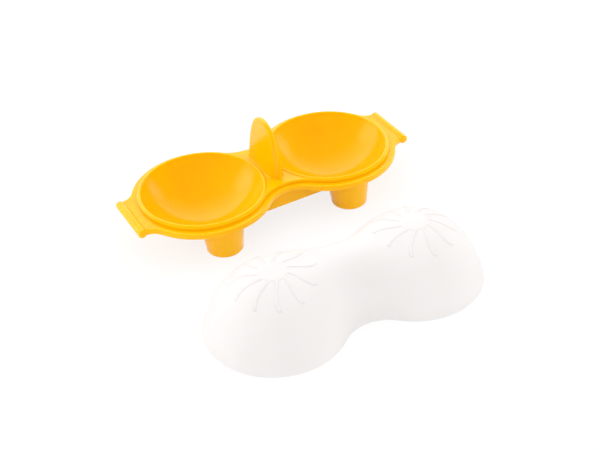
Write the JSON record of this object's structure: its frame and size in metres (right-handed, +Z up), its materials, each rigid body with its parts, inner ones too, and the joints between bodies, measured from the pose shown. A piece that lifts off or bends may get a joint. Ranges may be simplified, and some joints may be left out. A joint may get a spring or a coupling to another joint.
{
  "type": "egg poacher",
  "caption": "Microwave egg poacher: yellow plastic tray with round cups on short feet, and a frosted white domed lid lying beside it.",
  "frame": {"origin": "middle of the whole set's box, on the floor that the feet and the lid's rim stand on", "axes": "+X along the tray from one cup to the other, +Y away from the lid, +Z up"},
  "size_m": [0.2102, 0.216, 0.0678],
  "materials": {
    "tray_plastic": "glossy moulded polypropylene, warm yellow",
    "lid_plastic": "frosted translucent polypropylene, natural white"
  },
  "bodies": {
    "root": {"tray": "tray_plastic", "lid": "lid_plastic"}
  },
  "joints": []
}
